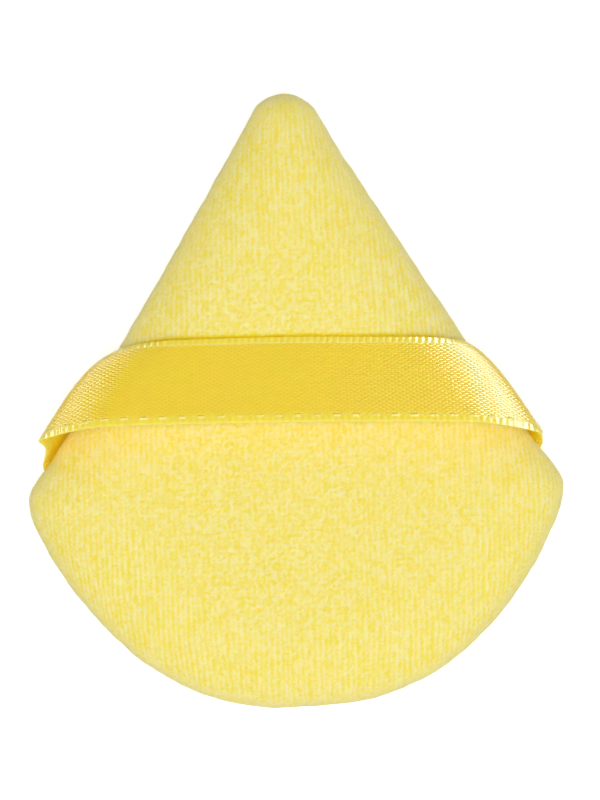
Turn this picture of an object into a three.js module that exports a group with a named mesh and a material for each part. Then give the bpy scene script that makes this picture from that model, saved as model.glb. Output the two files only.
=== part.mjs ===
// Pointed velour powder puff with a satin ribbon strap for the fingers.
// Millimetres, +Z up. The puff lies on its powder face, with its tip toward +Y.
// Two velour panels are sewn together round a sponge core, and both ends of the ribbon
// are caught in the seam of the slanted sides. The strap swings about the line through its ends.

import * as THREE from 'three';

// Outline of the puff, seen from above
const PUFF_WIDTH = 70;
const PUFF_LENGTH = 80;
const TIP_RADIUS = 4.8;
const CORNER_RADIUS = 4;
const WIDEST_FROM_ROUND_EDGE = 27.5; // up to the two side corners
const SIDE_HOLLOW_RADIUS = 830; // the slanted sides draw in very slightly

// Thickness and filling of the pad
const PUFF_THICKNESS = 12; // at the crown
const PANEL_THICKNESS = 1; // velour pile and its backing
const SEAM_ALLOWANCE = 3; // turned inside, all round
const POWDER_FLAT_SHARE = 0.55; // the powder face lies flat over this share of its width
const EDGE_FULLNESS = 6; // a higher power swells faster from the edge

// Ribbon strap
const RIBBON_WIDTH = 12;
const RIBBON_THICKNESS = 0.3;
const STRAP_FROM_ROUND_EDGE = 37; // to the middle of the sewn ends
const STRAP_LEAN = 5.6; // the strap's middle lies this much nearer the tip than its ends
const STRAP_TILT = THREE.MathUtils.degToRad(28); // its tip-side edge lies on the pad
const STRAP_REST_GAP = 0.5; // under that edge
const LEG_LEAN_ROUND_SIDE = 4.6; // how far each leg leans along the seam, at its two edges
const LEG_LEAN_TIP_SIDE = 6;
const LEG_BULGE_ROUND_SIDE = 1.7; // how far it stands out from the seam
const LEG_BULGE_TIP_SIDE = 0.6;
const LEG_BOW = 0.3; // extra bulge at the middle of a leg
const LEG_MIDDLE_SHARE = 0.45; // where that is, from the seam up to the shoulder
const SHOULDER_RISE_SHARE = 0.66; // of the strap's height, where it turns in over the pad
const SHOULDER_RUN = 8; // from there to the straight middle
const SHOULDER_DROP_SHARE = 0.22; // how much of the shoulder's drop is left at that place

// Sewing
const THREAD_DIAMETER = 0.3;
const STITCH_LENGTH = 2.5;
const STITCH_INSET = 1.8; // from the edge to the seam's thread
const STITCH_DIP = 0.06;
const TURNING_GAP = 30; // left open in the round edge to turn and fill the puff, then closed by hand
const LADDER_LENGTH = 3;
const LADDER_INSET = 0.7;
const LADDER_DEPTH = 1.2;

// Clearances
const FIT_GAP = 0.3;
const THREAD_GAP = 0.12;

// Facets
const ROUND_EDGE_STEPS = 10;
const CORNER_STEPS = 6;
const SIDE_STEPS = 10;
const TIP_STEPS = 3;
const PATH_STEP_FACTOR = 4; // paths that threads follow are this much finer
const OUTER_SHARES = [0.3, 0.5, 0.66, 0.79, 0.88, 0.94, 0.98, 1];
const INNER_SHARES = [1, 0.97, 0.91, 0.8, 0.62];
const SPONGE_SHARES = [0.45, 0.66, 0.8, 0.9, 0.95];
const STRAP_STEPS_PER_SPAN = 6;
const STRAP_STEPS_ACROSS = 6;
const THREAD_SIDES = 5;

// Heights above and below the level of the seam
const seamLevel = PUFF_THICKNESS / 2;
const seamGap = RIBBON_THICKNESS + 2 * THREAD_GAP;
const lipOuter = seamGap / 2;
const lipInner = lipOuter + PANEL_THICKNESS;
const threadHeight = lipInner + THREAD_GAP + THREAD_DIAMETER / 2;
const grooveHeight = lipInner + THREAD_DIAMETER + 2 * THREAD_GAP;

// The side arcs touch the tip and corner circles from outside,
// and each corner circle touches the round edge from inside.
const tipCentre = new THREE.Vector2(0, PUFF_LENGTH / 2 - TIP_RADIUS);
const cornerCentre = new THREE.Vector2(
  PUFF_WIDTH / 2 - CORNER_RADIUS,
  WIDEST_FROM_ROUND_EDGE - PUFF_LENGTH / 2,
);
const roundEdgeRadius = findRoundEdgeRadius();
const roundCentre = new THREE.Vector2(0, roundEdgeRadius - PUFF_LENGTH / 2);
const hollowCentre = findHollowCentre();
const crownCentre = new THREE.Vector2(0, cornerCentre.y);

function findRoundEdgeRadius() {
  const up = WIDEST_FROM_ROUND_EDGE;
  const squares = cornerCentre.x ** 2 + up ** 2 - CORNER_RADIUS ** 2;
  return squares / (2 * (up - CORNER_RADIUS));
}

function findHollowCentre() {
  const toTip = SIDE_HOLLOW_RADIUS + TIP_RADIUS;
  const toCorner = SIDE_HOLLOW_RADIUS + CORNER_RADIUS;
  const side = cornerCentre.clone().sub(tipCentre);
  const apart = side.length();
  const along = (toTip ** 2 - toCorner ** 2 + apart ** 2) / (2 * apart);
  const outward = Math.sqrt(toTip ** 2 - along ** 2);
  side.normalize();
  const normal = new THREE.Vector2(-side.y, side.x);
  return tipCentre.clone().addScaledVector(side, along).addScaledVector(normal, outward);
}

function angleFrom(centre, point) {
  return Math.atan2(point.y - centre.y, point.x - centre.x);
}

function arc(centre, radius, from, to, steps) {
  return Array.from({ length: steps }, (_, i) => {
    const angle = from + ((to - from) * i) / steps;
    return new THREE.Vector2(centre.x + radius * Math.cos(angle), centre.y + radius * Math.sin(angle));
  });
}

// Closed outline, counter-clockwise from the middle of the round edge, drawn in by inset.
function outline(inset, stepFactor = 1) {
  const cornerStart = angleFrom(roundCentre, cornerCentre);
  const cornerEnd = angleFrom(cornerCentre, hollowCentre);
  const tipStart = angleFrom(tipCentre, hollowCentre);
  const sideStart = cornerEnd + Math.PI;
  const sideEnd = tipStart + Math.PI;
  const bottom = -Math.PI / 2;
  const top = Math.PI / 2;
  const right = [
    ...arc(roundCentre, roundEdgeRadius - inset, bottom, cornerStart, ROUND_EDGE_STEPS * stepFactor),
    ...arc(cornerCentre, CORNER_RADIUS - inset, cornerStart, cornerEnd, CORNER_STEPS * stepFactor),
    ...arc(hollowCentre, SIDE_HOLLOW_RADIUS + inset, sideStart, sideEnd, SIDE_STEPS * stepFactor),
    ...arc(tipCentre, TIP_RADIUS - inset, tipStart, top, TIP_STEPS * stepFactor),
  ];
  const tip = new THREE.Vector2(0, PUFF_LENGTH / 2 - inset);
  const left = right.slice(1).reverse().map((p) => new THREE.Vector2(-p.x, p.y));
  return [...right, tip, ...left];
}

// One ring of the pad: the outline drawn in, shrunk toward the crown by share, at a level.
function ring(inset, share, level) {
  return outline(inset).map((p) => {
    const point = crownCentre.clone().lerp(p, share);
    return new THREE.Vector3(point.x, point.y, level);
  });
}

function crownPoint(level) {
  return new THREE.Vector3(crownCentre.x, crownCentre.y, level);
}

// How full the pad is at a share of the way from its crown to its edge, flat within flatShare.
function swell(share, flatShare) {
  const outside = Math.max(0, (share - flatShare) / (1 - flatShare));
  return Math.sqrt(1 - outside ** EDGE_FULLNESS);
}

function geometryOf(points, index) {
  const geometry = new THREE.BufferGeometry().setFromPoints(points);
  geometry.setIndex(index);
  geometry.computeVertexNormals();
  return geometry;
}

// A closed body through rings of equal count, from an upper pole to a lower one.
function loft(firstPole, rings, lastPole) {
  const count = rings[0].length;
  const points = [firstPole, ...rings.flat(), lastPole];
  const index = [];
  const at = (r, i) => 1 + r * count + (i % count);
  for (let i = 0; i < count; i += 1) {
    index.push(0, at(0, i), at(0, i + 1));
    for (let r = 0; r + 1 < rings.length; r += 1) {
      index.push(at(r, i), at(r + 1, i), at(r + 1, i + 1));
      index.push(at(r, i), at(r + 1, i + 1), at(r, i + 1));
    }
    index.push(at(rings.length - 1, i), points.length - 1, at(rings.length - 1, i + 1));
  }
  return geometryOf(points, index);
}

// A velour panel: a swelling skin whose edge turns in along the seam as its allowance.
// side is +1 for the palm panel above the seam and -1 for the powder panel below it.
function panel(side, flatShare = 0) {
  const level = (height) => seamLevel + side * height;
  const outerCrown = PUFF_THICKNESS / 2;
  const innerCrown = outerCrown - PANEL_THICKNESS;
  const outerHeight = (share) => lipOuter + (outerCrown - lipOuter) * swell(share, flatShare);
  const innerHeight = (share) => lipInner + (innerCrown - lipInner) * swell(share, flatShare);
  const rings = [
    ...OUTER_SHARES.map((share) => ring(0, share, level(outerHeight(share)))),
    ring(SEAM_ALLOWANCE, 1, level(lipOuter)),
    ring(SEAM_ALLOWANCE, 1, level(lipInner)),
    ...INNER_SHARES.map((share) => ring(PANEL_THICKNESS, share, level(innerHeight(share)))),
  ];
  const outerPole = crownPoint(level(outerCrown));
  const innerPole = crownPoint(level(innerCrown));
  return side > 0 ? loft(outerPole, rings, innerPole) : loft(innerPole, rings.reverse(), outerPole);
}

// The sponge fills both panels and has a groove round its edge for the seam allowances.
function sponge() {
  const inset = PANEL_THICKNESS + FIT_GAP;
  const innerCrown = PUFF_THICKNESS / 2 - PANEL_THICKNESS;
  const edgeShare = SPONGE_SHARES[SPONGE_SHARES.length - 1];
  const half = (side, flatShare) => {
    const height = (share) => lipInner + (innerCrown - lipInner) * swell(share, flatShare) - FIT_GAP;
    return [
      ...SPONGE_SHARES.map((share) => ring(inset, share, seamLevel + side * height(share))),
      ring(inset, edgeShare, seamLevel + side * grooveHeight),
      ring(SEAM_ALLOWANCE + FIT_GAP, edgeShare, seamLevel + side * grooveHeight),
    ];
  };
  const rings = [...half(1, 0), ...half(-1, POWDER_FLAT_SHARE).reverse()];
  const crown = innerCrown - FIT_GAP;
  return loft(crownPoint(seamLevel + crown), rings, crownPoint(seamLevel - crown));
}

const sewnPlace = STRAP_FROM_ROUND_EDGE - PUFF_LENGTH / 2;
const sewnAngle = Math.asin((sewnPlace - hollowCentre.y) / SIDE_HOLLOW_RADIUS);

// A point beside the right-hand slanted seam: along it from the sewn place toward the tip,
// and out from it.
function besideSeam(along, out, level) {
  const angle = sewnAngle + along / SIDE_HOLLOW_RADIUS;
  const radius = SIDE_HOLLOW_RADIUS - out;
  return new THREE.Vector3(
    hollowCentre.x - radius * Math.cos(angle),
    hollowCentre.y + radius * Math.sin(angle),
    level,
  );
}

function mirrored(point) {
  return new THREE.Vector3(-point.x, point.y, point.z);
}

// A thin closed sheet about a grid of points. Its rows run from right to left across the puff,
// and each row runs toward the tip.
function thickSheet(grid, thickness) {
  const rows = grid.length;
  const columns = grid[0].length;
  const upper = [];
  const lower = [];
  for (let r = 0; r < rows; r += 1) {
    for (let c = 0; c < columns; c += 1) {
      const along = grid[Math.min(r + 1, rows - 1)][c].clone().sub(grid[Math.max(r - 1, 0)][c]);
      const across = grid[r][Math.min(c + 1, columns - 1)].clone().sub(grid[r][Math.max(c - 1, 0)]);
      const normal = across.cross(along).normalize();
      upper.push(grid[r][c].clone().addScaledVector(normal, thickness / 2));
      lower.push(grid[r][c].clone().addScaledVector(normal, -thickness / 2));
    }
  }
  const index = [];
  const quad = (a, b, c, d) => index.push(a, b, c, a, c, d);
  const top = (r, c) => r * columns + c;
  const under = (r, c) => rows * columns + r * columns + c;
  const last = columns - 1;
  for (let r = 0; r + 1 < rows; r += 1) {
    for (let c = 0; c < last; c += 1) {
      quad(top(r, c), top(r, c + 1), top(r + 1, c + 1), top(r + 1, c));
      quad(under(r, c), under(r + 1, c), under(r + 1, c + 1), under(r, c + 1));
    }
    quad(top(r, 0), top(r + 1, 0), under(r + 1, 0), under(r, 0));
    quad(top(r + 1, last), top(r, last), under(r, last), under(r + 1, last));
  }
  for (let c = 0; c < last; c += 1) {
    quad(top(0, c + 1), top(0, c), under(0, c), under(0, c + 1));
    quad(top(rows - 1, c), top(rows - 1, c + 1), under(rows - 1, c + 1), under(rows - 1, c));
  }
  return geometryOf([...upper, ...lower], index);
}

// Places across the ribbon, from its round-side edge (0) to its tip-side edge (1)
const acrossShares = Array.from({ length: STRAP_STEPS_ACROSS + 1 }, (_, i) => i / STRAP_STEPS_ACROSS);
const endOut = FIT_GAP;
const strapOut = endOut + FIT_GAP;
const strapMiddle = sewnPlace + STRAP_LEAN;
const strapTipEdgeLevel = PUFF_THICKNESS + STRAP_REST_GAP + RIBBON_THICKNESS / 2;

// One lengthwise line of the strap, from its right-hand end to its left-hand end.
// Each leg leaves the seam flat, bows out and up, and turns in at its shoulder.
function strapLine(share) {
  const { lerp } = THREE.MathUtils;
  const across = (share - 0.5) * RIBBON_WIDTH;
  const topLevel = strapTipEdgeLevel + (1 - share) * RIBBON_WIDTH * Math.sin(STRAP_TILT);
  const topPlace = strapMiddle + across * Math.cos(STRAP_TILT);
  const lean = lerp(LEG_LEAN_ROUND_SIDE, LEG_LEAN_TIP_SIDE, share);
  const bulge = lerp(LEG_BULGE_ROUND_SIDE, LEG_BULGE_TIP_SIDE, share);
  const rise = (topLevel - seamLevel) * SHOULDER_RISE_SHARE;
  const foot = besideSeam(across, strapOut, seamLevel);
  const legLevel = seamLevel + rise * LEG_MIDDLE_SHARE;
  const leg = besideSeam(across + lean * LEG_MIDDLE_SHARE, bulge + LEG_BOW, legLevel);
  const shoulder = besideSeam(across + lean, bulge, seamLevel + rise);
  const brow = new THREE.Vector3(
    shoulder.x - SHOULDER_RUN,
    lerp(topPlace, shoulder.y, SHOULDER_DROP_SHARE),
    lerp(topLevel, shoulder.z, SHOULDER_DROP_SHARE),
  );
  const middle = new THREE.Vector3(0, topPlace, topLevel);
  const half = [foot, leg, shoulder, brow];
  const line = [...half, middle, ...half.map(mirrored).reverse()];
  const curve = new THREE.CatmullRomCurve3(line, false, 'centripetal');
  return curve.getPoints((line.length - 1) * STRAP_STEPS_PER_SPAN);
}

function strap() {
  const lines = acrossShares.map(strapLine);
  const grid = lines[0].map((_, i) => lines.map((line) => line[i]));
  return thickSheet(grid, RIBBON_THICKNESS);
}

// A sewn end of the ribbon, flat in the seam between the two allowances.
// side is +1 for the right-hand end and -1 for the left-hand one.
function ribbonEnd(side) {
  const rightToLeft = [-endOut, 0, SEAM_ALLOWANCE];
  const grid = rightToLeft.map((depth) => acrossShares.map((share) => {
    const point = besideSeam((share - 0.5) * RIBBON_WIDTH, -depth, seamLevel);
    return side > 0 ? point : mirrored(point);
  }));
  return thickSheet(side > 0 ? grid : grid.reverse(), RIBBON_THICKNESS);
}

// A round thread along points that lie close to one level.
function thread(points, stepsPerPoint) {
  const corners = Array.from({ length: THREAD_SIDES }, (_, i) => {
    const angle = (i / THREAD_SIDES) * 2 * Math.PI;
    return new THREE.Vector2(Math.cos(angle), Math.sin(angle)).multiplyScalar(THREAD_DIAMETER / 2);
  });
  const extrudePath = new THREE.CatmullRomCurve3(points, false, 'centripetal');
  const steps = (points.length - 1) * stepsPerPoint;
  return new THREE.ExtrudeGeometry(new THREE.Shape(corners), { steps, extrudePath });
}

// The outline at an inset, as a path measured by length from the middle of the round edge.
function edgePath(inset) {
  const points = outline(inset, PATH_STEP_FACTOR).map((p) => new THREE.Vector3(p.x, p.y, seamLevel));
  const path = new THREE.CurvePath();
  points.forEach((p, i) => path.add(new THREE.LineCurve3(p, points[(i + 1) % points.length])));
  return path;
}

// One thread of the machine seam: it lies on an allowance and dips at every stitch.
function seamThread(side) {
  const edge = edgePath(STITCH_INSET);
  const length = edge.getLength();
  const run = length - TURNING_GAP;
  const halfStitches = 2 * Math.round(run / STITCH_LENGTH);
  const points = Array.from({ length: halfStitches + 1 }, (_, i) => {
    const along = TURNING_GAP / 2 + (run * i) / halfStitches;
    const point = edge.getPointAt(along / length);
    const dip = i % 2 ? STITCH_DIP : -STITCH_DIP;
    point.z += side * (threadHeight + dip);
    return point;
  });
  return thread(points, 1);
}

// The hand-sewn ladder that closes the turning gap, stepping in and out between the allowances.
function closingThread() {
  const outer = edgePath(LADDER_INSET);
  const inner = edgePath(LADDER_INSET + LADDER_DEPTH);
  const rungs = 2 * Math.round(TURNING_GAP / LADDER_LENGTH);
  const points = [];
  for (let i = 0; i <= rungs; i += 1) {
    const along = (i / rungs - 0.5) * TURNING_GAP;
    const rung = i % 2 ? [inner, outer] : [outer, inner];
    rung.forEach((edge) => points.push(edge.getPointAt((1 + along / edge.getLength()) % 1)));
  }
  return thread(points, 2);
}

const velour = { color: 0xf5e47c, roughness: 0.95, metalness: 0 };
const satin = { color: 0xecd047, roughness: 0.38, metalness: 0 };
const cotton = { color: 0xf0dc70, roughness: 0.8, metalness: 0 };
const foam = { color: 0xf4efdf, roughness: 1, metalness: 0 };

const puff = new THREE.Group();

function add(name, geometry, finish) {
  const mesh = new THREE.Mesh(geometry, new THREE.MeshStandardMaterial(finish));
  mesh.name = name;
  puff.add(mesh);
}

add('palm_panel', panel(1), velour);
add('powder_panel', panel(-1, POWDER_FLAT_SHARE), velour);
add('sponge_core', sponge(), foam);
add('ribbon_strap', strap(), satin);
add('ribbon_end_right', ribbonEnd(1), satin);
add('ribbon_end_left', ribbonEnd(-1), satin);
add('needle_thread', seamThread(1), cotton);
add('bobbin_thread', seamThread(-1), cotton);
add('closing_thread', closingThread(), cotton);

export default puff;
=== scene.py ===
# Pointed velour powder puff with a satin ribbon strap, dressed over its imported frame.
# The sizes here are in millimetres, as in the part's source, and meshes are made in metres.
# Only the studio is laid out in metres.

import math

import bmesh
import bpy
import numpy as np
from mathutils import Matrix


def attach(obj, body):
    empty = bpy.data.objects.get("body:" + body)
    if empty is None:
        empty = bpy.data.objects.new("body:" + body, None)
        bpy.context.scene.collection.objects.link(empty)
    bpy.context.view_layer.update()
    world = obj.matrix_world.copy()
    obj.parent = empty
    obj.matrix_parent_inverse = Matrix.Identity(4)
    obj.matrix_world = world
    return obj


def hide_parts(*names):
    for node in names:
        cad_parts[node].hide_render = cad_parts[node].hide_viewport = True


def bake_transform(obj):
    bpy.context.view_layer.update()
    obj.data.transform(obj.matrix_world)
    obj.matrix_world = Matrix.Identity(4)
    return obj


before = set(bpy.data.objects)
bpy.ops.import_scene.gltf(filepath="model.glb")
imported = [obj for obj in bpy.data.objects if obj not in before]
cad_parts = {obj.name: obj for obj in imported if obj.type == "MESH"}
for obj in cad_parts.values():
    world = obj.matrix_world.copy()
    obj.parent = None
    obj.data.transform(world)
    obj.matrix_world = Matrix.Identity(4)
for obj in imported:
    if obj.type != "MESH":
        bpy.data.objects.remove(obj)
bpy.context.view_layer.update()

MM = 0.001

# Outline of the puff, seen from above
PUFF_WIDTH = 70
PUFF_LENGTH = 80
TIP_RADIUS = 4.8
CORNER_RADIUS = 4
WIDEST_FROM_ROUND_EDGE = 27.5
SIDE_HOLLOW_RADIUS = 830

# Thickness of the pad
PUFF_THICKNESS = 12
SEAM_LEVEL = PUFF_THICKNESS / 2
PANEL_THICKNESS = 1
SEAM_ALLOWANCE = 3
SEAM_GAP = 0.27  # half the gap between the panels' edges, where the ribbon passes

# Velour panels
CELL = 0.21  # of the grid that carries the pile
PALM_CROWN = 5.62  # from the panel's edge to the top of its face
PALM_SHOULDER = 14  # from the edge to where the face is flat
PALM_FULLNESS = 3
POWDER_CROWN = 5.73
POWDER_SHOULDER = 9
POWDER_FULLNESS = 2.6
LINING_SHARES = [0.9, 0.72, 0.4]  # rings of the cloth's back, as shares of the way from its middle
RELAX_ROUNDS = 300  # of evening out a face's heights
PILE_RELIEF = 0.16
EDGE_PILE = 0.45  # share of that relief left beside the seam
WALE_PITCH = 0.7  # of the knitted backing's loops, across and along the puff
COURSE_PITCH = 0.72
POWDER_PATTERN_SHIFT = 200  # sets the powder face's pile off from the palm's

# Seeded noises: width and length of a lump, and the seed
WALE_WANDER = (2.6, 6, 11)
FINE_WALE_WANDER = (0.8, 1.8, 12)
CLEAR_PATCHES = (9, 12, 13)
DASHES = (0.5, 1.1, 14)
TUFTS = (0.32, 0.32, 15)
GRAIN = (0.25, 0.25, 16)
COURSE_WANDER = (1.6, 1.6, 17)
EDGE_WAVES = (4, 4, 21)
EDGE_FRAY = (1.3, 1.3, 22)

# The sewn edge. The round edge is flatter at its middle and flanks than an arc, and its right flank is
# a little fuller.
FLANK_TURN = math.radians(72)  # from the round edge's middle to the end of a flank
LEFT_FLATNESS = 0.47
RIGHT_FLATNESS = 0.32
RIGHT_SWELL = 0.3
PINCH = 0.2  # how far the ribbon draws the pad's edge in where it is sewn
PINCH_HALF_LENGTH = 4.5
EDGE_FADE = 7  # how far in from the edge the face follows it

# Line that the strap's resting edge presses into the pile, which also carries a painted crevice shade
MARK_DEPTH = 0.06
MARK_WIDTH = 0.28
MARK_TOWARD_TIP = 0.15
MARK_FULL_TO = 16  # from the puff's middle line
MARK_ENDS_AT = 22

# Ribbon strap
RIBBON_WIDTH = 12
RIBBON_THICKNESS = 0.24
STRAP_FROM_ROUND_EDGE = 37
STRAP_LEAN = 5.65  # how far the strap's middle lies toward the tip from its sewn ends
STRAP_TILT = math.radians(23)
STRAP_SKEW = 0.02  # the strap lies a little turned on the pad
STRAP_STEPS = 400
STRAP_STEPS_ACROSS = 56

# Satin weave and bound edges, on the flat ribbon
FLOAT_LENGTH = 0.9
FLOAT_ROW = 0.28
FLOAT_ARCH = 0.9  # shares of the weave's height
ROW_ROUND = 0.5
RELIEF_HEIGHT = 0.045
BINDING_FROM = 5.15  # from the ribbon's middle line
BINDING_RELIEF = 0.4
TICK_PITCH = 0.85
TICK_RELIEF = 1.1
SLACK_PITCH = 2.5
SLACK_RELIEF = 3.2
LEAST_SLACK = 0.35

# Sponge
SPONGE_GAP = 0.3
SPONGE_GROOVE = 0.6  # room beside each seam allowance
SPONGE_TURNS = 160
SPONGE_RINGS = (0.2, 0.4, 0.6, 0.75, 0.86, 0.93, 0.96)  # shares of the way to the rim
SPONGE_GROOVE_FLOOR = 0.9

# Studio
WORLD_LIGHT = 0.3  # the world is white where it is seen, and this strong as light
FLOOR_REACH = 3.0
FLOOR_GLOW = 0.5  # brings the floor up to white where it is seen
IMAGE_HEIGHT = 800
MM_PER_PIXEL = 0.13072
SENSOR_WIDTH = 36
CAMERA_ABOVE_SEAM = 0.75
CAMERA_X = 0.9147 * MM
CAMERA_Y = -0.0304 * MM
CAMERA_ROLL = math.radians(-1.9)


def lerp(a, b, share):
    return a + (b - a) * share


# Arcs of the right half of the outline: centre, radius, first and last angle, and -1 if hollow.
# The side arc touches the tip and corner circles from outside.
TIP_CENTRE = np.array([0, PUFF_LENGTH / 2 - TIP_RADIUS])
CORNER_CENTRE = np.array([PUFF_WIDTH / 2 - CORNER_RADIUS, WIDEST_FROM_ROUND_EDGE - PUFF_LENGTH / 2])
CROWN_CENTRE = np.array([0, CORNER_CENTRE[1]])


def find_round_edge_radius():
    squares = CORNER_CENTRE[0] ** 2 + WIDEST_FROM_ROUND_EDGE**2 - CORNER_RADIUS**2
    return squares / (2 * (WIDEST_FROM_ROUND_EDGE - CORNER_RADIUS))


def find_hollow_centre():
    to_tip = SIDE_HOLLOW_RADIUS + TIP_RADIUS
    to_corner = SIDE_HOLLOW_RADIUS + CORNER_RADIUS
    side = CORNER_CENTRE - TIP_CENTRE
    apart = np.hypot(*side)
    side = side / apart
    along = (to_tip**2 - to_corner**2 + apart**2) / (2 * apart)
    outward = math.sqrt(to_tip**2 - along**2)
    return TIP_CENTRE + along * side + outward * np.array([-side[1], side[0]])


def angle_from(centre, point):
    return math.atan2(point[1] - centre[1], point[0] - centre[0])


ROUND_EDGE_RADIUS = find_round_edge_radius()
ROUND_CENTRE = np.array([0, ROUND_EDGE_RADIUS - PUFF_LENGTH / 2])
HOLLOW_CENTRE = find_hollow_centre()
CORNER_FIRST = angle_from(ROUND_CENTRE, CORNER_CENTRE)
CORNER_LAST = angle_from(CORNER_CENTRE, HOLLOW_CENTRE)
TIP_FIRST = angle_from(TIP_CENTRE, HOLLOW_CENTRE)
ARCS = [
    (ROUND_CENTRE, ROUND_EDGE_RADIUS, -math.pi / 2, CORNER_FIRST, 1),
    (CORNER_CENTRE, CORNER_RADIUS, CORNER_FIRST, CORNER_LAST, 1),
    (HOLLOW_CENTRE, SIDE_HOLLOW_RADIUS, TIP_FIRST, CORNER_LAST, -1),
    (TIP_CENTRE, TIP_RADIUS, TIP_FIRST, math.pi / 2, 1),
]

# Where the ribbon is sewn into the slanted sides
SEWN_PLACE = STRAP_FROM_ROUND_EDGE - PUFF_LENGTH / 2
SEWN_ANGLE = math.asin((SEWN_PLACE - HOLLOW_CENTRE[1]) / SIDE_HOLLOW_RADIUS)


def from_outline(x, y):
    """How deep each point lies inside the outline, and the unit direction inward."""
    depth = np.full(x.shape, 1e6)
    inward_x = np.zeros(x.shape)
    inward_y = np.zeros(x.shape)
    slack = 1e-9
    for centre, radius, first, last, sign in ARCS:
        from_x = np.abs(x) - centre[0]
        from_y = y - centre[1]
        reach = np.hypot(from_x, from_y) + slack
        angle = np.arctan2(sign * from_y, sign * from_x)
        arc_depth = sign * (radius - reach)
        on_arc = (angle >= first - slack) & (angle <= last + slack)
        nearer = on_arc & (np.abs(arc_depth) < np.abs(depth))
        depth = np.where(nearer, arc_depth, depth)
        inward_x = np.where(nearer, -sign * from_x / reach, inward_x)
        inward_y = np.where(nearer, -sign * from_y / reach, inward_y)
    return depth, inward_x * np.sign(x), inward_y


def cloud(x, y, cell_x, cell_y, seed):
    """Smooth seeded noise from -1 to 1, in lumps of about one cell."""
    grid_x = x / cell_x + 1000
    grid_y = y / cell_y + 1000
    column = np.floor(grid_x).astype(int)
    row = np.floor(grid_y).astype(int)
    first_column = column.min()
    first_row = row.min()
    columns = column.max() - first_column + 2
    rows = row.max() - first_row + 2
    lattice = np.random.default_rng(seed).uniform(-1, 1, (rows, columns))
    share_x = grid_x - column
    share_y = grid_y - row
    share_x = share_x * share_x * (3 - 2 * share_x)
    share_y = share_y * share_y * (3 - 2 * share_y)
    column = column - first_column
    row = row - first_row
    low = lerp(lattice[row, column], lattice[row, column + 1], share_x)
    high = lerp(lattice[row + 1, column], lattice[row + 1, column + 1], share_x)
    return lerp(low, high, share_y)


def smooth_step(low, high, value):
    share = np.clip((value - low) / (high - low), 0, 1)
    return share * share * (3 - 2 * share)


# Materials


def new_material(name):
    material = bpy.data.materials.new(name)
    material.use_nodes = True
    shader = material.node_tree.nodes["Principled BSDF"]
    return material, material.node_tree, shader


def set_inputs(tree, node, inputs):
    """Each input takes a value, or an output to link."""
    for name, value in inputs.items():
        if isinstance(value, bpy.types.NodeSocket):
            tree.links.new(value, node.inputs[name])
        else:
            node.inputs[name].default_value = value


def add_node(tree, kind, inputs=None, **settings):
    node = tree.nodes.new(kind)
    for name, value in settings.items():
        setattr(node, name, value)
    set_inputs(tree, node, inputs or {})
    return node


def math_node(tree, operation, first, second=0.0):
    node = add_node(tree, "ShaderNodeMath", {0: first, 1: second}, operation=operation)
    return node.outputs[0]


def add_scaled(tree, value, factor, other):
    """value times factor, plus other."""
    node = add_node(tree, "ShaderNodeMath", {0: value, 1: factor, 2: other}, operation="MULTIPLY_ADD")
    return node.outputs[0]


def smooth_mask(tree, value, low, high):
    """0 at low and before it, 1 at high and past it, with a soft step between. low may be the larger."""
    node = add_node(
        tree,
        "ShaderNodeMapRange",
        {"Value": value, "From Min": low, "From Max": high},
        interpolation_type="SMOOTHSTEP",
    )
    return node.outputs[0]


def mix_value(tree, factor, first, second):
    node = add_node(tree, "ShaderNodeMix", {"Factor": factor, "A": first, "B": second}, data_type="FLOAT")
    return node.outputs[0]


def mix_colour(tree, factor, first, second):
    node = add_node(
        tree,
        "ShaderNodeMix",
        {"Factor": factor, 6: first, 7: second},
        data_type="RGBA",
        blend_type="MIX",
    )
    return node.outputs[2]


def bump_node(tree, height, strength, distance):
    node = add_node(
        tree,
        "ShaderNodeBump",
        {"Height": height, "Strength": strength, "Distance": distance * MM},
    )
    return node.outputs[0]


def srgb(red, green, blue):
    """A linear colour with alpha, from values out of 255 as they look on a screen."""
    shares = [v / 255 for v in (red, green, blue)]
    linear = [s / 12.92 if s <= 0.04045 else ((s + 0.055) / 1.055) ** 2.4 for s in shares]
    return (*linear, 1)


def velour_material():
    """Pale tips over deeper pile, and a painted crevice shade in the deep colour of the backing, along the
    line that the strap's resting edge presses.
    """
    tips = srgb(250, 236, 166)
    deep = srgb(247, 225, 76)
    # Painted crevice shade: this deep colour stands for the shade where the strap's resting edge meets the
    # pile.
    backing = srgb(250, 212, 24)
    material, tree, shader = new_material("yellow_velour")
    pile = add_node(tree, "ShaderNodeAttribute", attribute_name="pile").outputs["Fac"]
    place = add_node(tree, "ShaderNodeTexCoord").outputs["Object"]
    fibres = add_node(
        tree,
        "ShaderNodeTexNoise",
        {"Vector": place, "Scale": 3600, "Detail": 1, "Roughness": 0.5},
    ).outputs["Fac"]
    height = add_scaled(tree, fibres, 0.9, pile)
    colour = mix_colour(tree, smooth_mask(tree, height, 0.4, 1.5), deep, tips)
    # The pressed line drives the pile value below zero, and there the colour turns to the painted crevice
    # shade.
    colour = mix_colour(tree, smooth_mask(tree, pile, 0.1, -0.7), colour, backing)
    set_inputs(tree, shader, {
        "Base Color": colour,
        "Normal": bump_node(tree, fibres, strength=0.3, distance=0.08),
        "Roughness": 0.95,
        "Specular IOR Level": 0.15,
        "Subsurface Weight": 0.5,
        "Subsurface Radius": (1, 0.75, 0.2),
        "Subsurface Scale": 0.6 * MM,
        "Sheen Weight": 0.12,
        "Sheen Roughness": 0.5,
        "Sheen Tint": srgb(255, 248, 215),
    })
    return material


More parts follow.
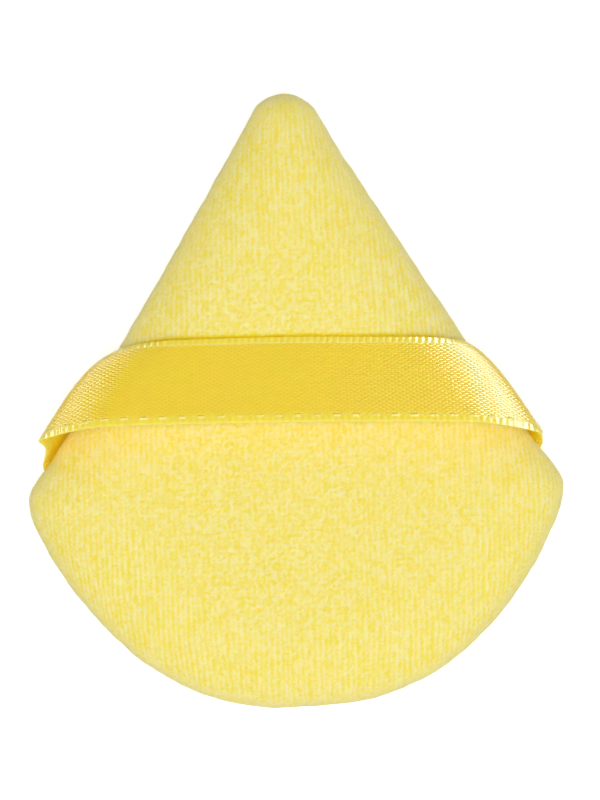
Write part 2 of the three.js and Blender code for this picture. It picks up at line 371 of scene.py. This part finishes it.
def satin_weave(tree, along, across):
    """Height of rows of long floats, each row offset by half a float from the next."""
    rows = math_node(tree, "MULTIPLY", across, 1 / FLOAT_ROW)
    odd = math_node(tree, "FLOORED_MODULO", math_node(tree, "FLOOR", rows), 2.0)
    floats = math_node(tree, "MULTIPLY", along, 1 / FLOAT_LENGTH)
    floats = math_node(tree, "FRACT", add_scaled(tree, odd, 0.5, floats))
    arch = math_node(tree, "SINE", math_node(tree, "MULTIPLY", floats, math.pi))
    round_row = math_node(tree, "SINE", math_node(tree, "MULTIPLY", rows, math.pi))
    round_row = math_node(tree, "ABSOLUTE", round_row)
    return add_scaled(tree, arch, FLOAT_ARCH, math_node(tree, "MULTIPLY", round_row, ROW_ROUND))


def slack_floats(tree, along):
    """How far each of a row of short floats stands up: 0 between them, and more or less by chance."""
    pitches = math_node(tree, "MULTIPLY", along, 1 / SLACK_PITCH)
    cycle = math_node(tree, "FRACT", pitches)
    place = math_node(tree, "FLOOR", pitches)
    chance = add_node(tree, "ShaderNodeTexWhiteNoise", {"W": place}, noise_dimensions="1D").outputs["Value"]
    slack = add_scaled(tree, chance, 1 - LEAST_SLACK, LEAST_SLACK)
    from_middle = math_node(tree, "ABSOLUTE", math_node(tree, "SUBTRACT", cycle, 0.5))
    return math_node(tree, "MULTIPLY", smooth_mask(tree, from_middle, 0.22, 0.13), slack)


def satin_material():
    """Satin weave between two bound edges with ticks. The row of slack floats stands where the
    round-side binding starts. The masks beside the bindings are in millimetres on the flat ribbon."""
    dips = srgb(250, 208, 8)
    floats = srgb(255, 221, 25)
    binding_dips = srgb(252, 223, 50)
    binding_ticks = srgb(255, 229, 64)
    # Painted glow: a paler colour on the last strip of the round-side edge, standing for light coming
    # through that edge.
    painted_edge_glow = srgb(255, 237, 100)
    tip_side_line = srgb(255, 240, 130)
    slack_float = srgb(255, 235, 150)
    material, tree, shader = new_material("yellow_satin")
    flat = add_node(tree, "ShaderNodeAttribute", attribute_name="flat").outputs["Vector"]
    part = add_node(tree, "ShaderNodeSeparateXYZ", {0: flat})
    along = part.outputs[0]
    across = part.outputs[1]
    to_round_side = math_node(tree, "ADD", across, BINDING_FROM)
    to_tip_side = math_node(tree, "ABSOLUTE", math_node(tree, "SUBTRACT", across, BINDING_FROM))

    weave = satin_weave(tree, along, across)
    from_middle = math_node(tree, "ABSOLUTE", across)
    bound = smooth_mask(tree, from_middle, BINDING_FROM - 0.05, BINDING_FROM + 0.05)
    ticks = math_node(tree, "SINE", math_node(tree, "MULTIPLY", along, math.pi / TICK_PITCH))
    ticks = math_node(tree, "MULTIPLY", ticks, ticks)
    binding = add_scaled(tree, ticks, TICK_RELIEF, BINDING_RELIEF)
    relief = mix_value(tree, bound, weave, binding)
    slack = slack_floats(tree, along)
    rise = smooth_mask(tree, to_round_side, -0.22, 0.2)
    fall = smooth_mask(tree, to_round_side, 0.3, 0.2)
    standing = math_node(tree, "MULTIPLY", slack, math_node(tree, "MULTIPLY", rise, fall))
    relief = add_scaled(tree, standing, SLACK_RELIEF, relief)

    high = smooth_mask(tree, weave, 0.2, 1.3)
    cloth = mix_colour(tree, high, dips, floats)
    binding = mix_colour(tree, ticks, binding_dips, binding_ticks)
    paling = smooth_mask(tree, to_round_side, 0.8, -0.1)
    colour = mix_colour(tree, math_node(tree, "MAXIMUM", bound, paling), cloth, binding)
    # The outermost strip of the round-side edge takes the painted glow.
    rim = smooth_mask(tree, to_round_side, -0.5, -0.65)
    colour = mix_colour(tree, rim, colour, painted_edge_glow)
    line = math_node(tree, "MULTIPLY", smooth_mask(tree, to_tip_side, 0.2, 0.04), 0.6)
    colour = mix_colour(tree, line, colour, tip_side_line)
    dash = smooth_mask(tree, math_node(tree, "ABSOLUTE", to_round_side), 0.17, 0.08)
    colour = mix_colour(tree, math_node(tree, "MULTIPLY", slack, dash), colour, slack_float)

    tangent = add_node(tree, "ShaderNodeTangent", direction_type="UV_MAP", uv_map="ribbon")
    set_inputs(tree, shader, {
        "Base Color": colour,
        "Normal": bump_node(tree, relief, strength=1, distance=RELIEF_HEIGHT),
        "Tangent": tangent.outputs[0],
        "Roughness": 0.29,
        "IOR": 1.5,
        "Anisotropic": 0.55,
        "Anisotropic Rotation": 0.25,
        "Subsurface Weight": 0.4,
        "Subsurface Radius": (1, 0.7, 0.1),
        "Subsurface Scale": 0.1 * MM,
    })
    return material


def thread_material():
    material, tree, shader = new_material("yellow_thread")
    place = add_node(tree, "ShaderNodeTexCoord").outputs["Object"]
    twist = add_node(
        tree,
        "ShaderNodeTexWave",
        {"Vector": place, "Scale": 900, "Distortion": 1.5},
        bands_direction="DIAGONAL",
    ).outputs["Fac"]
    set_inputs(tree, shader, {
        "Base Color": mix_colour(tree, twist, srgb(226, 190, 60), srgb(246, 226, 120)),
        "Normal": bump_node(tree, twist, strength=0.4, distance=0.03),
        "Roughness": 0.6,
    })
    return material


def sponge_material():
    material, tree, shader = new_material("white_sponge")
    place = add_node(tree, "ShaderNodeTexCoord").outputs["Object"]
    cells = add_node(tree, "ShaderNodeTexVoronoi", {"Vector": place, "Scale": 2200}).outputs["Distance"]
    set_inputs(tree, shader, {
        "Base Color": mix_colour(tree, cells, srgb(214, 208, 190), srgb(250, 247, 236)),
        "Normal": bump_node(tree, cells, strength=0.8, distance=0.2),
        "Roughness": 0.95,
    })
    return material


def mesh_object(name, points, faces, material):
    """A smooth mesh in the scene, from points in millimetres."""
    mesh = bpy.data.meshes.new(name)
    mesh.from_pydata((np.asarray(points) * MM).tolist(), [], faces)
    mesh.shade_smooth()
    mesh.materials.append(material)
    piece = bpy.data.objects.new(name, mesh)
    bpy.context.scene.collection.objects.link(piece)
    return piece


# Velour panels


def edge_profile(crown, shoulder, fullness):
    """Length along the face from the edge, with the distance inside the outline and the height there."""
    inside = shoulder * np.linspace(0, 1, 800) ** 3
    height = crown * np.sqrt(1 - (1 - inside / shoulder) ** fullness)
    steps = np.hypot(np.diff(inside), np.diff(height))
    length = np.concatenate([[0], np.cumsum(steps)])
    far = 60  # the face is level from its shoulder to past the puff's middle
    length = np.append(length, length[-1] + far)
    inside = np.append(inside, shoulder + far)
    height = np.append(height, crown)
    return length, inside, height


def pile_pattern(x, y, depth):
    """Height of the velour's pile from 0 to 1: broken wales along the puff, with tufts in them.
    The wales are clearest a few millimetres in from the edge."""
    wander = 0.2 * cloud(x, y, *WALE_WANDER) + 0.1 * cloud(x, y, *FINE_WALE_WANDER)
    wales = np.cos(2 * math.pi * (x + wander) / WALE_PITCH)
    courses = np.cos(2 * math.pi * (y + 0.3 * cloud(x, y, *COURSE_WANDER)) / COURSE_PITCH)
    flank = smooth_step(0.3, 2, depth) * (1 - smooth_step(6, 15, depth))
    clear = np.clip(0.08 + 0.8 * flank + 0.35 * cloud(x, y, *CLEAR_PATCHES), 0, 1)
    dashes = cloud(x, y, *DASHES)
    tufts = cloud(x, y, *TUFTS)
    grain = cloud(x, y, *GRAIN)
    broken = clear * (0.24 * wales + 0.2 * dashes) + (1 - clear) * 0.08 * (courses + wales)
    return np.clip(0.5 + broken + lerp(0.34, 0.2, clear) * tufts + 0.24 * grain, 0, 1)


def relax(height, kept, loose):
    """Evens out the heights of the kept grid points, by how loose each is."""
    for _ in range(RELAX_ROUNDS):
        total = np.zeros(height.shape)
        count = np.zeros(height.shape)
        for axis in (0, 1):
            for step in (1, -1):
                beside = np.roll(kept, step, axis)
                total += np.where(beside, np.roll(height, step, axis), 0)
                count += beside
        mean = total / np.maximum(count, 1)
        height = np.where(kept, lerp(height, mean, 0.5 * loose), height)
    return height


def sewn_share(x, y):
    """1 where the ribbon is sewn into the slanted sides, and 0 away from there."""
    from_x = np.abs(x) - HOLLOW_CENTRE[0]
    from_y = y - HOLLOW_CENTRE[1]
    angle = np.arcsin(from_y / np.hypot(from_x, from_y))
    along = (angle - SEWN_ANGLE) * SIDE_HOLLOW_RADIUS
    return 1 - smooth_step(PINCH_HALF_LENGTH - 1, PINCH_HALF_LENGTH + 2.5, np.abs(along))


def edge_wander(x, y):
    """How far the sewn edge stands out from the drawn outline, at points of the outline."""
    turn = np.arctan2(np.abs(x), ROUND_CENTRE[1] - y)
    share = np.minimum(turn / FLANK_TURN, 1)
    wave = np.sin(2 * math.pi * share) * np.where(x < 0, LEFT_FLATNESS, RIGHT_FLATNESS)
    swell = np.sin(math.pi * share) ** 2 * np.where(x < 0, 0, RIGHT_SWELL)
    return wave + swell + 0.1 * cloud(x, y, *EDGE_WAVES) + 0.06 * cloud(x, y, *EDGE_FRAY)


def strap_mark(x, y):
    """How deep the strap's resting edge is pressed into the pile, from 0 to 1. This share sets the dent,
    and also the painted crevice shade along it.
    """
    line, _ = strap_line(1)
    line = line[line[:, 2] > PUFF_THICKNESS - 1]
    edge = np.interp(x, line[:, 0], line[:, 1])
    across = np.exp(-(((y - edge - MARK_TOWARD_TIP) / MARK_WIDTH) ** 2))
    return across * (1 - smooth_step(MARK_FULL_TO, MARK_ENDS_AT, np.abs(x)))


def grid_faces(kept, side):
    """Faces between the kept points of a grid, numbered row by row: squares, and triangles at the edge."""
    number = np.full(kept.shape, -1)
    number[kept] = np.arange(kept.sum())
    corners = np.stack([number[:-1, :-1], number[:-1, 1:], number[1:, 1:], number[1:, :-1]], axis=-1)
    corners = corners.reshape(-1, 4)
    present = (corners >= 0).sum(axis=1)
    faces = corners[present == 4].tolist()
    faces += [[i for i in face if i >= 0] for face in corners[present == 3].tolist()]
    if side < 0:
        faces = [face[::-1] for face in faces]
    return faces


def velour_panel(name, side, crown, shoulder, fullness, material):
    """One velour panel: side is 1 for the palm face above the seam, and -1 for the powder face.
    A fine grid on the flat cloth is bent to the swollen face, and its edge turns in at the seam."""
    length, inside, height = edge_profile(crown, shoulder, fullness)
    spare = length[-1] - inside[-1]  # the cloth is this much wider than the outline
    half_columns = int((PUFF_WIDTH / 2 + spare) / CELL) + 2
    half_rows = int((PUFF_LENGTH / 2 + spare) / CELL) + 2
    x, y = np.meshgrid(
        np.arange(-half_columns, half_columns + 1) * CELL,
        np.arange(-half_rows, half_rows + 1) * CELL,
    )
    depth, inward_x, inward_y = from_outline(x, y)
    along = depth + spare
    reach = 0.5 * (np.abs(inward_x) * CELL + np.abs(inward_y) * CELL)
    at_edge = np.abs(along) <= reach
    kept = (along > 0) | at_edge
    along = np.where(at_edge, 0, np.maximum(along, 0))
    inset = np.interp(along, length, inside)
    shift = inset - depth
    face_x = x + inward_x * shift
    face_y = y + inward_y * shift
    pinch = PINCH * sewn_share(face_x, face_y) - edge_wander(x - inward_x * depth, y - inward_y * depth)
    pinch = pinch * (1 - smooth_step(0, EDGE_FADE, along))
    face_x += inward_x * pinch
    face_y += inward_y * pinch
    loose = smooth_step(2.5, 7, along) * ~at_edge
    face_height = relax(np.interp(along, length, height), kept, loose)

    pile = pile_pattern(x, y if side > 0 else y + POWDER_PATTERN_SHIFT, inset)
    from_edge = lerp(EDGE_PILE, 1, smooth_step(0.1, 1.6, inset))
    relief = PILE_RELIEF * from_edge * (pile - 1) * smooth_step(0, 0.6, along)
    if side > 0:
        pressed = strap_mark(face_x, face_y)
        relief -= MARK_DEPTH * pressed
        # Painted crevice shade: lowering the pile value here turns the velour's colour deep along the
        # pressed line, while the dent above is real relief.
        pile = pile - 1.2 * pressed

    level = SEAM_LEVEL + side * (SEAM_GAP + face_height)
    points = np.stack([face_x[kept], face_y[kept], level[kept]], axis=1)
    piece = mesh_object(name, points, grid_faces(kept, side), material)
    mesh = piece.data
    normals = np.empty(len(points) * 3)
    mesh.vertices.foreach_get("normal", normals)
    points += normals.reshape(-1, 3) * relief[kept][:, None]
    points[:, 2] = np.maximum(points[:, 2], 0)
    mesh.vertices.foreach_set("co", (points * MM).ravel())
    line_panel(mesh, side, crown, shoulder, fullness)
    attribute = mesh.attributes.new("pile", "FLOAT", "POINT")
    values = np.full(len(mesh.vertices), 0.5)
    values[: len(points)] = lerp(0.75, pile[kept], from_edge[kept])
    attribute.data.foreach_set("value", values)
    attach(piece, "pad")
    return piece


def line_panel(mesh, side, crown, shoulder, fullness):
    """Turns the panel's open edge in as the seam allowance, and closes it with the back of the cloth."""
    form = bmesh.new()
    form.from_mesh(mesh)
    edges = [edge for edge in form.edges if edge.is_boundary]

    def turn_in(edges, place):
        made = bmesh.ops.extrude_edge_only(form, edges=edges)["geom"]
        verts = [item for item in made if isinstance(item, bmesh.types.BMVert)]
        at = np.array([vert.co for vert in verts]) / MM
        moved = place(at)
        for vert, spot in zip(verts, moved):
            vert.co = spot * MM
        return [item for item in made if isinstance(item, bmesh.types.BMEdge)], verts

    def allowance(at):
        depth, inward_x, inward_y = from_outline(at[:, 0], at[:, 1])
        step = SEAM_ALLOWANCE - depth
        level = np.full(len(at), SEAM_LEVEL + side * SEAM_GAP)
        return np.stack([at[:, 0] + inward_x * step, at[:, 1] + inward_y * step, level], axis=1)

    def raised(at):
        return at + np.array([0, 0, side * PANEL_THICKNESS])

    def backing(share):
        def place(at):
            flat = CROWN_CENTRE + share * (start[:, :2] - CROWN_CENTRE)
            depth, _, _ = from_outline(flat[:, 0], flat[:, 1])
            inset = np.clip((depth - PANEL_THICKNESS) / shoulder, 0, 1)
            rise = (crown - PANEL_THICKNESS) * np.sqrt(1 - (1 - inset) ** fullness)
            level = SEAM_LEVEL + side * np.maximum(SEAM_GAP + rise, SEAM_GAP + PANEL_THICKNESS)
            return np.column_stack([flat, level])
        return place

    edges, _ = turn_in(edges, allowance)
    edges, verts = turn_in(edges, raised)
    start = np.array([vert.co for vert in verts]) / MM
    for share in LINING_SHARES:
        edges, verts = turn_in(edges, backing(share))
    pole = (*CROWN_CENTRE, SEAM_LEVEL + side * (SEAM_GAP + crown - PANEL_THICKNESS))
    bmesh.ops.pointmerge(form, verts=verts, merge_co=[value * MM for value in pole])
    bmesh.ops.recalc_face_normals(form, faces=form.faces)
    form.to_mesh(mesh)
    form.free()
    mesh.shade_smooth()


# Ribbon strap


def beside_seam(side, along, out, level):
    """A point beside a slanted seam: along it from the sewn place toward the tip, and out from it."""
    angle = SEWN_ANGLE + along / SIDE_HOLLOW_RADIUS
    radius = SIDE_HOLLOW_RADIUS - out
    x = HOLLOW_CENTRE[0] - radius * math.cos(angle)
    y = HOLLOW_CENTRE[1] + radius * math.sin(angle)
    return np.array([side * x, y, level])


# How each leg stands. shift is how far its sewn end lies toward the tip. knee and lean give how far
# its knee and its fold lie along the seam at the round-side edge, and tip_lean where the fold ends at
# the other edge. The knee stands out by knee_out. The fold stands out by bulge, less toward the tip
# by the power taper, and by swell more at the ribbon's middle.
LEFT_LEG = {
    "shift": -0.15, "knee": 2.5, "knee_out": 1, "lean": 3.1, "tip_lean": 11.8,
    "bulge": 2.3, "taper": 4.4, "swell": 0,
}
RIGHT_LEG = {
    "shift": 1, "knee": 2, "knee_out": 1.25, "lean": 1.5, "tip_lean": 11.3,
    "bulge": 0.85, "taper": 6, "swell": 0.35,
}
LEGS = {-1: LEFT_LEG, 1: RIGHT_LEG}
TIP_SIDE_KNEE = 3.2
TIP_SIDE_KNEE_OUT = 0.1
FOLD_RISE = 0.75  # level of the fold, from the seam to the strap's top, at the round-side edge
TIP_SIDE_FOLD_RISE = 0.6
BROW_RUN = 10  # how far the strap bends down to its fold
BROW_DROP = 0.12  # share of the way to the fold, in plan, that the brow lies off the strap's line
BROW_EASE = 1.4  # how gently the roll meets the brow
ROLL_SLIDE = 0.8  # how far the roll follows the seam as it leaves the fold
TIP_SIDE_ROLL_SLIDE = 2.5


def strap_half(side, share):
    """Points of one lengthwise line of the strap, from its sewn end to beside its middle.
    share is 0 at the ribbon's round-side edge, and 1 at its tip-side edge."""
    leg = LEGS[side]
    across = (share - 0.5) * RIBBON_WIDTH
    edge_level = PUFF_THICKNESS + RIBBON_THICKNESS / 2
    top_level = edge_level + (1 - share) * RIBBON_WIDTH * math.sin(STRAP_TILT)
    top_place = SEWN_PLACE + STRAP_LEAN + across * math.cos(STRAP_TILT)
    sewn = across + leg["shift"]
    knee = sewn + lerp(leg["knee"], TIP_SIDE_KNEE, share)
    knee_out = lerp(leg["knee_out"], TIP_SIDE_KNEE_OUT, share)
    along = lerp(leg["shift"] + leg["lean"] - RIBBON_WIDTH / 2, leg["tip_lean"], share)
    bulge = leg["bulge"] * (1 - share ** leg["taper"]) + leg["swell"] * 4 * share * (1 - share)
    fold_level = lerp(SEAM_LEVEL, top_level, lerp(FOLD_RISE, TIP_SIDE_FOLD_RISE, share))

    def beside(along, out, rise):
        return beside_seam(side, along, out, lerp(SEAM_LEVEL, fold_level, rise))

    fold = beside(along, bulge, 1)
    half = [  # along the seam, out from it, and up from the seam to the fold
        beside(sewn, -SEAM_ALLOWANCE, 0),
        beside(sewn, -PINCH, 0),
        beside(lerp(sewn, knee, 0.12), 0.25 * knee_out, 0.1),
        beside(knee, knee_out, 0.5),
        beside(lerp(knee, along, 0.7), lerp(knee_out, bulge, 0.45), 0.78),
        fold,
    ]

    # From the fold the ribbon rolls up to the brow. In plan it leaves the fold along the seam, and
    # meets the brow along the strap.
    brow_x = fold[0] - side * BROW_RUN
    brow_y = lerp(top_place - STRAP_SKEW * brow_x, fold[1], BROW_DROP)
    brow = np.array([brow_x, brow_y, top_level])
    seam_way = lerp(ROLL_SLIDE, TIP_SIDE_ROLL_SLIDE, share) * (beside(along + 1, bulge, 1) - fold)
    strap_way = np.array([-side * BROW_RUN * BROW_EASE, side * BROW_RUN * BROW_EASE * STRAP_SKEW, 0])
    for degrees in (15, 30, 45, 60, 75):
        t = degrees / 90
        spot = (
            (2 * t**3 - 3 * t**2 + 1) * fold
            + (t**3 - 2 * t**2 + t) * seam_way
            + (3 * t**2 - 2 * t**3) * brow
            + (t**3 - t**2) * strap_way
        )
        spot[2] = lerp(fold_level, top_level, math.sin(math.radians(degrees)))
        half.append(spot)
    half.append(brow)
    return half, np.array([0, top_place, top_level])


def smooth_line(points, count):
    """A centripetal Catmull-Rom curve through the points, sampled evenly along its length."""
    points = np.array([2 * points[0] - points[1], *points, 2 * points[-1] - points[-2]])
    knots = np.concatenate([[0], np.cumsum(np.sqrt(np.linalg.norm(np.diff(points, axis=0), axis=1)))])
    fine = []
    for i in range(1, len(points) - 2):
        t0, t1, t2, t3 = knots[i - 1 : i + 3]
        t = np.linspace(t1, t2, 60)[:, None]
        a = ((t1 - t) * points[i - 1] + (t - t0) * points[i]) / (t1 - t0)
        b = ((t2 - t) * points[i] + (t - t1) * points[i + 1]) / (t2 - t1)
        c = ((t3 - t) * points[i + 1] + (t - t2) * points[i + 2]) / (t3 - t2)
        low = ((t2 - t) * a + (t - t0) * b) / (t2 - t0)
        high = ((t3 - t) * b + (t - t1) * c) / (t3 - t1)
        fine.append(((t2 - t) * low + (t - t1) * high) / (t2 - t1))
    fine = np.concatenate(fine)
    length = np.concatenate([[0], np.cumsum(np.linalg.norm(np.diff(fine, axis=0), axis=1))])
    wanted = np.linspace(0, length[-1], count)
    return np.stack([np.interp(wanted, length, fine[:, i]) for i in range(3)], axis=1), length[-1]


def strap_line(share):
    """One lengthwise line of the ribbon, from the left sewn end to the right one, and its length."""
    left, middle = strap_half(-1, share)
    right, _ = strap_half(1, share)
    return smooth_line([*left, middle, *right[::-1]], STRAP_STEPS + 1)


def sheet_faces(rows, columns):
    """Faces of a thin closed sheet: its top points row by row, and then its under points."""
    top = np.arange(rows * columns).reshape(rows, columns)
    under = top + rows * columns
    last_row = rows - 1
    last_column = columns - 1
    faces = []
    for r in range(last_row):
        for c in range(last_column):
            faces.append([top[r, c], top[r + 1, c], top[r + 1, c + 1], top[r, c + 1]])
            faces.append([under[r, c], under[r, c + 1], under[r + 1, c + 1], under[r + 1, c]])
        faces.append([top[r + 1, 0], top[r, 0], under[r, 0], under[r + 1, 0]])
        c = last_column
        faces.append([top[r, c], top[r + 1, c], under[r + 1, c], under[r, c]])
    for c in range(last_column):
        faces.append([top[0, c], top[0, c + 1], under[0, c + 1], under[0, c]])
        r = last_row
        faces.append([top[r, c + 1], top[r, c], under[r, c], under[r, c + 1]])
    return [[int(i) for i in face] for face in faces]


def ribbon(material):
    """The whole ribbon as one thin closed sheet, from the left sewn end over the pad to the right one."""
    rows = STRAP_STEPS + 1
    columns = STRAP_STEPS_ACROSS + 1
    shares = np.append(np.linspace(0, 0.992, columns - 1), 1)  # the last strip is narrow
    lines, lengths = zip(*[strap_line(share) for share in shares])
    grid = np.stack(lines, axis=1)
    lengths = np.array(lengths)
    along = np.gradient(grid, axis=0)
    across = np.gradient(grid, axis=1)
    normal = np.cross(along, across)
    normal /= np.linalg.norm(normal, axis=2, keepdims=True)
    thinning = np.sqrt(np.clip(1 - np.abs(2 * shares - 1) ** 24, 0.4, 1))  # toward both edges
    half = RIBBON_THICKNESS / 2 * thinning[None, :, None]
    points = np.concatenate([(grid + normal * half).reshape(-1, 3), (grid - normal * half).reshape(-1, 3)])
    piece = mesh_object("satin_ribbon_strap", points, sheet_faces(rows, columns), material)

    # Each point's place on the flat ribbon, for the weave and for the direction of its sheen
    mesh = piece.data
    mesh.set_sharp_from_angle(angle=math.radians(45))
    share_along = np.linspace(-0.5, 0.5, rows)
    flat = np.zeros((rows, columns, 3))
    flat[:, :, 0] = share_along[:, None] * lengths[None, :]
    flat[:, :, 1] = (shares[None, :] - 0.5) * RIBBON_WIDTH
    flat = np.concatenate([flat.reshape(-1, 3), flat.reshape(-1, 3)])
    attribute = mesh.attributes.new("flat", "FLOAT_VECTOR", "POINT")
    attribute.data.foreach_set("vector", flat.ravel())
    layer = mesh.uv_layers.new(name="ribbon")
    loops = np.empty(len(mesh.loops), dtype=int)
    mesh.loops.foreach_get("vertex_index", loops)
    uv = flat[loops, :2] / lengths.max() + 0.5
    layer.data.foreach_set("uv", uv.ravel())

    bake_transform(piece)
    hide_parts("ribbon_strap", "ribbon_end_right", "ribbon_end_left")


# Sponge core


def sponge(material):
    """The filling, with the groove round its edge that leaves room for the seam allowances."""
    inset = PANEL_THICKNESS + SPONGE_GAP
    reach = np.linspace(0, 60, 2400)
    rim = []
    for i in range(SPONGE_TURNS):
        angle = 2 * math.pi * i / SPONGE_TURNS
        direction = np.array([math.cos(angle), math.sin(angle)])
        line = CROWN_CENTRE + reach[:, None] * direction
        depth, _, _ = from_outline(line[:, 0], line[:, 1])
        rim.append(CROWN_CENTRE + direction * reach[np.argmax(depth < inset)])
    rim = np.array(rim)

    # Rings from the top down to the groove's floor, and the same below
    groove = SEAM_GAP + PANEL_THICKNESS + SPONGE_GROOVE
    crown = PUFF_THICKNESS / 2 - PANEL_THICKNESS - SPONGE_GAP
    rings = [(share, groove + (crown - groove) * math.sqrt(1 - share**6)) for share in SPONGE_RINGS]
    rings.append((SPONGE_RINGS[-1], groove))
    rings.append((SPONGE_GROOVE_FLOOR, groove))
    outer = rings + [(share, -height) for share, height in reversed(rings)]
    points = [[*CROWN_CENTRE, SEAM_LEVEL + crown]]
    for share, height in outer:
        ring = CROWN_CENTRE + share * (rim - CROWN_CENTRE)
        points += [[*spot, SEAM_LEVEL + height] for spot in ring]
    points.append([*CROWN_CENTRE, SEAM_LEVEL - crown])
    faces = []
    for i in range(SPONGE_TURNS):
        j = (i + 1) % SPONGE_TURNS
        faces.append([0, 1 + i, 1 + j])
        for r in range(len(outer) - 1):
            a = 1 + r * SPONGE_TURNS
            b = a + SPONGE_TURNS
            faces.append([a + i, b + i, b + j, a + j])
        a = 1 + (len(outer) - 1) * SPONGE_TURNS
        faces.append([a + i, len(points) - 1, a + j])
    piece = mesh_object("sponge_filling", points, faces, material)
    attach(piece, "pad")
    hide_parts("sponge_core")


# Studio


def seen_directly(tree):
    """1 for rays of the camera, and for reflected and transmitted ones, and 0 for those that light."""
    ray = add_node(tree, "ShaderNodeLightPath")
    seen = math_node(tree, "MAXIMUM", ray.outputs["Is Camera Ray"], ray.outputs["Is Glossy Ray"])
    return math_node(tree, "MAXIMUM", seen, ray.outputs["Is Transmission Ray"])


def white_world():
    world = bpy.data.worlds.new("studio")
    bpy.context.scene.world = world
    world.use_nodes = True
    tree = world.node_tree
    strength = mix_value(tree, seen_directly(tree), WORLD_LIGHT, 1.0)
    set_inputs(tree, tree.nodes["Background"], {"Color": (1, 1, 1, 1), "Strength": strength})


def pale_floor():
    material, tree, shader = new_material("pale_floor")
    set_inputs(tree, shader, {
        "Base Color": (0.8, 0.8, 0.8, 1),
        "Roughness": 0.9,
        "Specular IOR Level": 0.1,
        "Emission Color": (1, 1, 1, 1),
        "Emission Strength": math_node(tree, "MULTIPLY", seen_directly(tree), FLOOR_GLOW),
    })
    mesh = bpy.data.meshes.new("floor")
    signs = [(-1, -1), (1, -1), (1, 1), (-1, 1)]
    mesh.from_pydata([(x * FLOOR_REACH, y * FLOOR_REACH, 0) for x, y in signs], [], [[0, 1, 2, 3]])
    mesh.materials.append(material)
    floor = bpy.data.objects.new("floor", mesh)
    bpy.context.scene.collection.objects.link(floor)


def soft_box(name, place, size, power):
    """A rectangular lamp that faces the floor under the puff."""
    light = bpy.data.lights.new(name, "AREA")
    light.shape = "RECTANGLE"
    light.size, light.size_y = size
    light.energy = power
    lamp = bpy.data.objects.new(name, light)
    lamp.location = place
    aim = -lamp.location
    lamp.rotation_euler = aim.to_track_quat("-Z", "Y").to_euler()
    bpy.context.scene.collection.objects.link(lamp)
    return lamp


def lamps():
    soft_box("overhead", place=(0, -0.06, 0.9), size=(0.3, 0.3), power=4.2)
    soft_box("front_right", place=(0.43, -0.32, 0.45), size=(0.3, 0.3), power=0.75)
    soft_box("front_left", place=(-0.43, -0.32, 0.45), size=(0.3, 0.3), power=0.6)

    # Two boxes beyond the strap's ends give the satin its sheen. They show in gloss only.
    sheen_right = soft_box("sheen_right", place=(0.335, 0.461, 0.11), size=(0.3, 0.3), power=8.5)
    sheen_left = soft_box("sheen_left", place=(-0.351, 0.449, 0.045), size=(0.18, 0.09), power=1.8)
    sheen_right.visible_diffuse = False
    sheen_left.visible_diffuse = False


def camera_above():
    """Looks straight down, with the photograph's frame at the level of the seam."""
    data = bpy.data.cameras.new("camera")
    frame_height = IMAGE_HEIGHT * MM_PER_PIXEL * MM
    data.sensor_width = SENSOR_WIDTH
    data.lens = SENSOR_WIDTH * CAMERA_ABOVE_SEAM / frame_height
    data.clip_start = 0.01
    camera = bpy.data.objects.new("camera", data)
    camera.location = (CAMERA_X, CAMERA_Y, SEAM_LEVEL * MM + CAMERA_ABOVE_SEAM)
    camera.rotation_euler = (0, 0, CAMERA_ROLL)
    bpy.context.scene.collection.objects.link(camera)
    bpy.context.scene.camera = camera


bpy.context.scene.view_settings.view_transform = "Standard"
white_world()
pale_floor()
lamps()
camera_above()

velour = velour_material()
palm = velour_panel("palm_velour", 1, PALM_CROWN, PALM_SHOULDER, PALM_FULLNESS, velour)
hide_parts("palm_panel")
powder = velour_panel("powder_velour", -1, POWDER_CROWN, POWDER_SHOULDER, POWDER_FULLNESS, velour)
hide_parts("powder_panel")
ribbon(satin_material())
sponge(sponge_material())
thread = thread_material()
for node in ("needle_thread", "bobbin_thread", "closing_thread"):
    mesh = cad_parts[node].data
    mesh.materials.clear()
    mesh.materials.append(thread)
